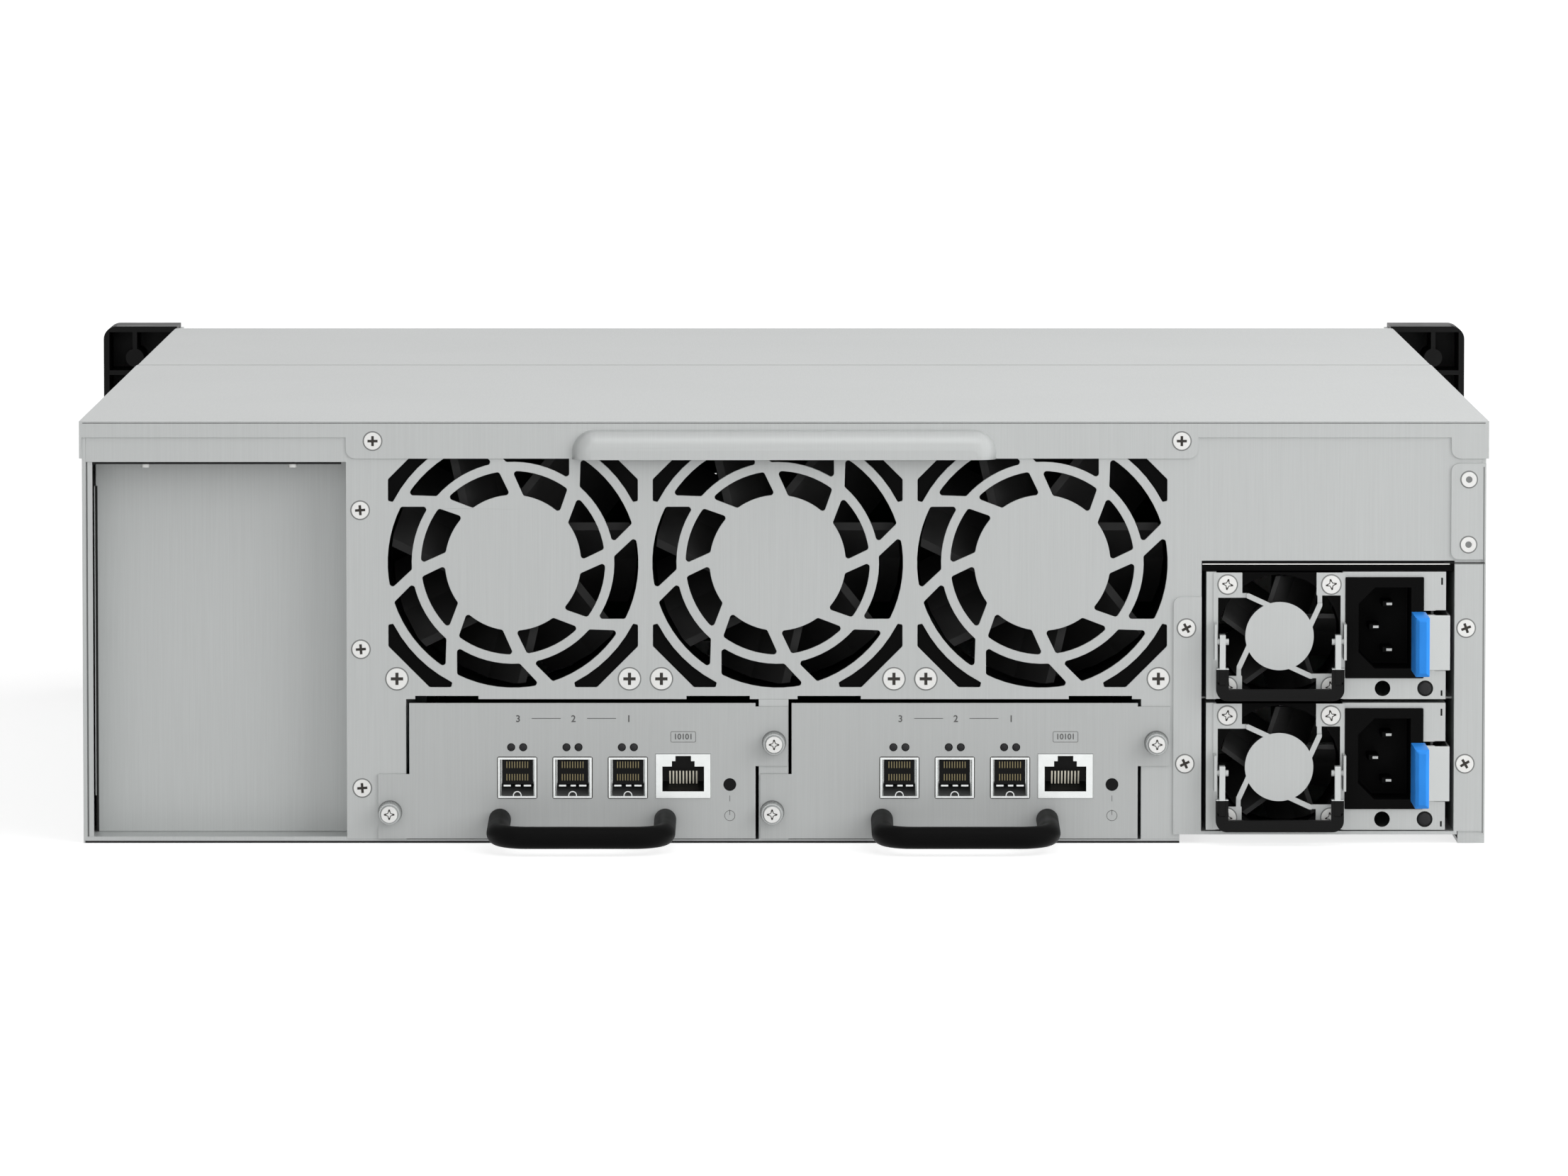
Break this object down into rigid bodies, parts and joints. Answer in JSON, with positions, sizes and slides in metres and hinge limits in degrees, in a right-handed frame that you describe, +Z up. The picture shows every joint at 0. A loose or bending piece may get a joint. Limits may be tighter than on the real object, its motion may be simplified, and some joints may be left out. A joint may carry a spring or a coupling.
{
  "type": "disk shelf enclosure",
  "caption": "Rack-mount disk shelf: sheet case with a swirled fan grille, slide-out interface canisters, hot-swap power supplies and front drive trays.",
  "frame": {"origin": "under the middle of the case, on the underside that it rests on", "axes": "+Y from the rear side to the drive side, +X to the right seen from the rear, +Z up"},
  "size_m": [0.4826, 0.5852, 0.1306],
  "materials": {
    "case_sheet": "brushed zinc-coated sheet",
    "ear_moulding": "fine-grained moulding",
    "fan_moulding": "moulded plastic",
    "board": "solder-masked board",
    "canister_sheet": "brushed sheet",
    "handle_black": "satin black",
    "screw_steel": "nickel-plated",
    "button_black": "moulded plastic",
    "port_shell": "plated sheet",
    "psu_sheet": "brushed sheet",
    "guard_steel": "plated sheet",
    "inlet_black": "moulded plastic",
    "release_blue": "moulded plastic",
    "tray_black": "fine-grained moulding"
  },
  "bodies": {
    "chassis": {"chassis_base": "case_sheet", "rear_panel": "case_sheet", "rear_top_cover": "case_sheet", "front_top_cover": "case_sheet", "side_bay_blank": "case_sheet", "canister_cage": "case_sheet", "psu_cage": "case_sheet", "drive_cage": "case_sheet", "backplane": "board", "ear_left": "ear_moulding", "ear_right": "ear_moulding", "fan_frames": "fan_moulding"},
    "fan_1": {"fan_rotor_1": "fan_moulding"},
    "fan_2": {"fan_rotor_2": "fan_moulding"},
    "fan_3": {"fan_rotor_3": "fan_moulding"},
    "canister_1": {"canister_1_tray": "canister_sheet", "canister_1_board": "board", "canister_1_ports": "port_shell", "canister_1_handle": "handle_black"},
    "canister_1_power_button": {"canister_1_button": "button_black"},
    "canister_1_thumbscrew_lower": {"canister_1_thumbscrew_lower": "screw_steel"},
    "canister_1_thumbscrew_upper": {"canister_1_thumbscrew_upper": "screw_steel"},
    "canister_2": {"canister_2_tray": "canister_sheet", "canister_2_board": "board", "canister_2_ports": "port_shell", "canister_2_handle": "handle_black"},
    "canister_2_power_button": {"canister_2_button": "button_black"},
    "canister_2_thumbscrew_lower": {"canister_2_thumbscrew_lower": "screw_steel"},
    "canister_2_thumbscrew_upper": {"canister_2_thumbscrew_upper": "screw_steel"},
    "psu_1": {"psu_1_case": "psu_sheet", "psu_1_fan_frame": "fan_moulding", "psu_1_guard": "guard_steel", "psu_1_inlet": "inlet_black"},
    "psu_1_fan": {"psu_1_rotor": "fan_moulding"},
    "psu_1_bail": {"psu_1_handle": "handle_black"},
    "psu_1_release": {"psu_1_latch": "release_blue"},
    "psu_2": {"psu_2_case": "psu_sheet", "psu_2_fan_frame": "fan_moulding", "psu_2_guard": "guard_steel", "psu_2_inlet": "inlet_black"},
    "psu_2_fan": {"psu_2_rotor": "fan_moulding"},
    "psu_2_bail": {"psu_2_handle": "handle_black"},
    "psu_2_release": {"psu_2_latch": "release_blue"},
    "drive_tray_41": {"drive_tray_41": "tray_black"},
    "drive_tray_42": {"drive_tray_42": "tray_black"},
    "drive_tray_43": {"drive_tray_43": "tray_black"},
    "drive_tray_44": {"drive_tray_44": "tray_black"},
    "drive_tray_31": {"drive_tray_31": "tray_black"},
    "drive_tray_32": {"drive_tray_32": "tray_black"},
    "drive_tray_33": {"drive_tray_33": "tray_black"},
    "drive_tray_34": {"drive_tray_34": "tray_black"},
    "drive_tray_21": {"drive_tray_21": "tray_black"},
    "drive_tray_22": {"drive_tray_22": "tray_black"},
    "drive_tray_23": {"drive_tray_23": "tray_black"},
    "drive_tray_24": {"drive_tray_24": "tray_black"},
    "drive_tray_11": {"drive_tray_11": "tray_black"},
    "drive_tray_12": {"drive_tray_12": "tray_black"},
    "drive_tray_13": {"drive_tray_13": "tray_black"},
    "drive_tray_14": {"drive_tray_14": "tray_black"}
  },
  "joints": [
    {"name": "fan_1_spin", "type": "hinge", "parent": "chassis", "child": "fan_1", "pos_m": [-0.08315, -0.239, 0.0864], "axis": [0, 1, 0], "continuous": true},
    {"name": "fan_2_spin", "type": "hinge", "parent": "chassis", "child": "fan_2", "pos_m": [-0.00195, -0.239, 0.0864], "axis": [0, 1, 0], "continuous": true},
    {"name": "fan_3_spin", "type": "hinge", "parent": "chassis", "child": "fan_3", "pos_m": [0.07925, -0.239, 0.0864], "axis": [0, 1, 0], "continuous": true},
    {"name": "canister_1_slide", "type": "slide", "parent": "chassis", "child": "canister_1", "axis": [0, -1, 0], "range_m": [0, 0.32]},
    {"name": "canister_1_button_press", "type": "slide", "parent": "canister_1", "child": "canister_1_power_button", "axis": [0, 1, 0], "range_m": [0, 0.0008], "stiffness_N_per_m": 800},
    {"name": "canister_1_thumbscrew_lower_turn", "type": "hinge", "parent": "canister_1", "child": "canister_1_thumbscrew_lower", "pos_m": [-0.12105, -0.264, 0.0096], "axis": [0, 1, 0], "continuous": true},
    {"name": "canister_1_thumbscrew_upper_turn", "type": "hinge", "parent": "canister_1", "child": "canister_1_thumbscrew_upper", "pos_m": [-0.00305, -0.264, 0.0311], "axis": [0, 1, 0], "continuous": true},
    {"name": "canister_2_slide", "type": "slide", "parent": "chassis", "child": "canister_2", "axis": [0, -1, 0], "range_m": [0, 0.32]},
    {"name": "canister_2_button_press", "type": "slide", "parent": "canister_2", "child": "canister_2_power_button", "axis": [0, 1, 0], "range_m": [0, 0.0008], "stiffness_N_per_m": 800},
    {"name": "canister_2_thumbscrew_lower_turn", "type": "hinge", "parent": "canister_2", "child": "canister_2_thumbscrew_lower", "pos_m": [-0.00365, -0.264, 0.0096], "axis": [0, 1, 0], "continuous": true},
    {"name": "canister_2_thumbscrew_upper_turn", "type": "hinge", "parent": "canister_2", "child": "canister_2_thumbscrew_upper", "pos_m": [0.11435, -0.264, 0.0311], "axis": [0, 1, 0], "continuous": true},
    {"name": "psu_1_slide", "type": "slide", "parent": "chassis", "child": "psu_1", "axis": [0, -1, 0], "range_m": [0, 0.19]},
    {"name": "psu_1_fan_spin", "type": "hinge", "parent": "psu_1", "child": "psu_1_fan", "pos_m": [0.152, -0.247, 0.06405], "axis": [0, 1, 0], "continuous": true},
    {"name": "psu_1_bail_swing", "type": "hinge", "parent": "psu_1", "child": "psu_1_bail", "pos_m": [0.152, -0.267, 0.06275], "axis": [-1, 0, 0], "range_deg": [0, 100]},
    {"name": "psu_1_latch_squeeze", "type": "slide", "parent": "psu_1", "child": "psu_1_release", "axis": [-1, 0, 0], "range_m": [0, 0.0025], "stiffness_N_per_m": 2000},
    {"name": "psu_2_slide", "type": "slide", "parent": "chassis", "child": "psu_2", "axis": [0, -1, 0], "range_m": [0, 0.19]},
    {"name": "psu_2_fan_spin", "type": "hinge", "parent": "psu_2", "child": "psu_2_fan", "pos_m": [0.152, -0.247, 0.0237], "axis": [0, 1, 0], "continuous": true},
    {"name": "psu_2_bail_swing", "type": "hinge", "parent": "psu_2", "child": "psu_2_bail", "pos_m": [0.152, -0.267, 0.0224], "axis": [-1, 0, 0], "range_deg": [0, 100]},
    {"name": "psu_2_latch_squeeze", "type": "slide", "parent": "psu_2", "child": "psu_2_release", "axis": [-1, 0, 0], "range_m": [0, 0.0025], "stiffness_N_per_m": 2000},
    {"name": "drive_tray_41_slide", "type": "slide", "parent": "chassis", "child": "drive_tray_41", "axis": [0, 1, 0], "range_m": [0, 0.2]},
    {"name": "drive_tray_42_slide", "type": "slide", "parent": "chassis", "child": "drive_tray_42", "axis": [0, 1, 0], "range_m": [0, 0.2]},
    {"name": "drive_tray_43_slide", "type": "slide", "parent": "chassis", "child": "drive_tray_43", "axis": [0, 1, 0], "range_m": [0, 0.2]},
    {"name": "drive_tray_44_slide", "type": "slide", "parent": "chassis", "child": "drive_tray_44", "axis": [0, 1, 0], "range_m": [0, 0.2]},
    {"name": "drive_tray_31_slide", "type": "slide", "parent": "chassis", "child": "drive_tray_31", "axis": [0, 1, 0], "range_m": [0, 0.2]},
    {"name": "drive_tray_32_slide", "type": "slide", "parent": "chassis", "child": "drive_tray_32", "axis": [0, 1, 0], "range_m": [0, 0.2]},
    {"name": "drive_tray_33_slide", "type": "slide", "parent": "chassis", "child": "drive_tray_33", "axis": [0, 1, 0], "range_m": [0, 0.2]},
    {"name": "drive_tray_34_slide", "type": "slide", "parent": "chassis", "child": "drive_tray_34", "axis": [0, 1, 0], "range_m": [0, 0.2]},
    {"name": "drive_tray_21_slide", "type": "slide", "parent": "chassis", "child": "drive_tray_21", "axis": [0, 1, 0], "range_m": [0, 0.2]},
    {"name": "drive_tray_22_slide", "type": "slide", "parent": "chassis", "child": "drive_tray_22", "axis": [0, 1, 0], "range_m": [0, 0.2]},
    {"name": "drive_tray_23_slide", "type": "slide", "parent": "chassis", "child": "drive_tray_23", "axis": [0, 1, 0], "range_m": [0, 0.2]},
    {"name": "drive_tray_24_slide", "type": "slide", "parent": "chassis", "child": "drive_tray_24", "axis": [0, 1, 0], "range_m": [0, 0.2]},
    {"name": "drive_tray_11_slide", "type": "slide", "parent": "chassis", "child": "drive_tray_11", "axis": [0, 1, 0], "range_m": [0, 0.2]},
    {"name": "drive_tray_12_slide", "type": "slide", "parent": "chassis", "child": "drive_tray_12", "axis": [0, 1, 0], "range_m": [0, 0.2]},
    {"name": "drive_tray_13_slide", "type": "slide", "parent": "chassis", "child": "drive_tray_13", "axis": [0, 1, 0], "range_m": [0, 0.2]},
    {"name": "drive_tray_14_slide", "type": "slide", "parent": "chassis", "child": "drive_tray_14", "axis": [0, 1, 0], "range_m": [0, 0.2]}
  ]
}
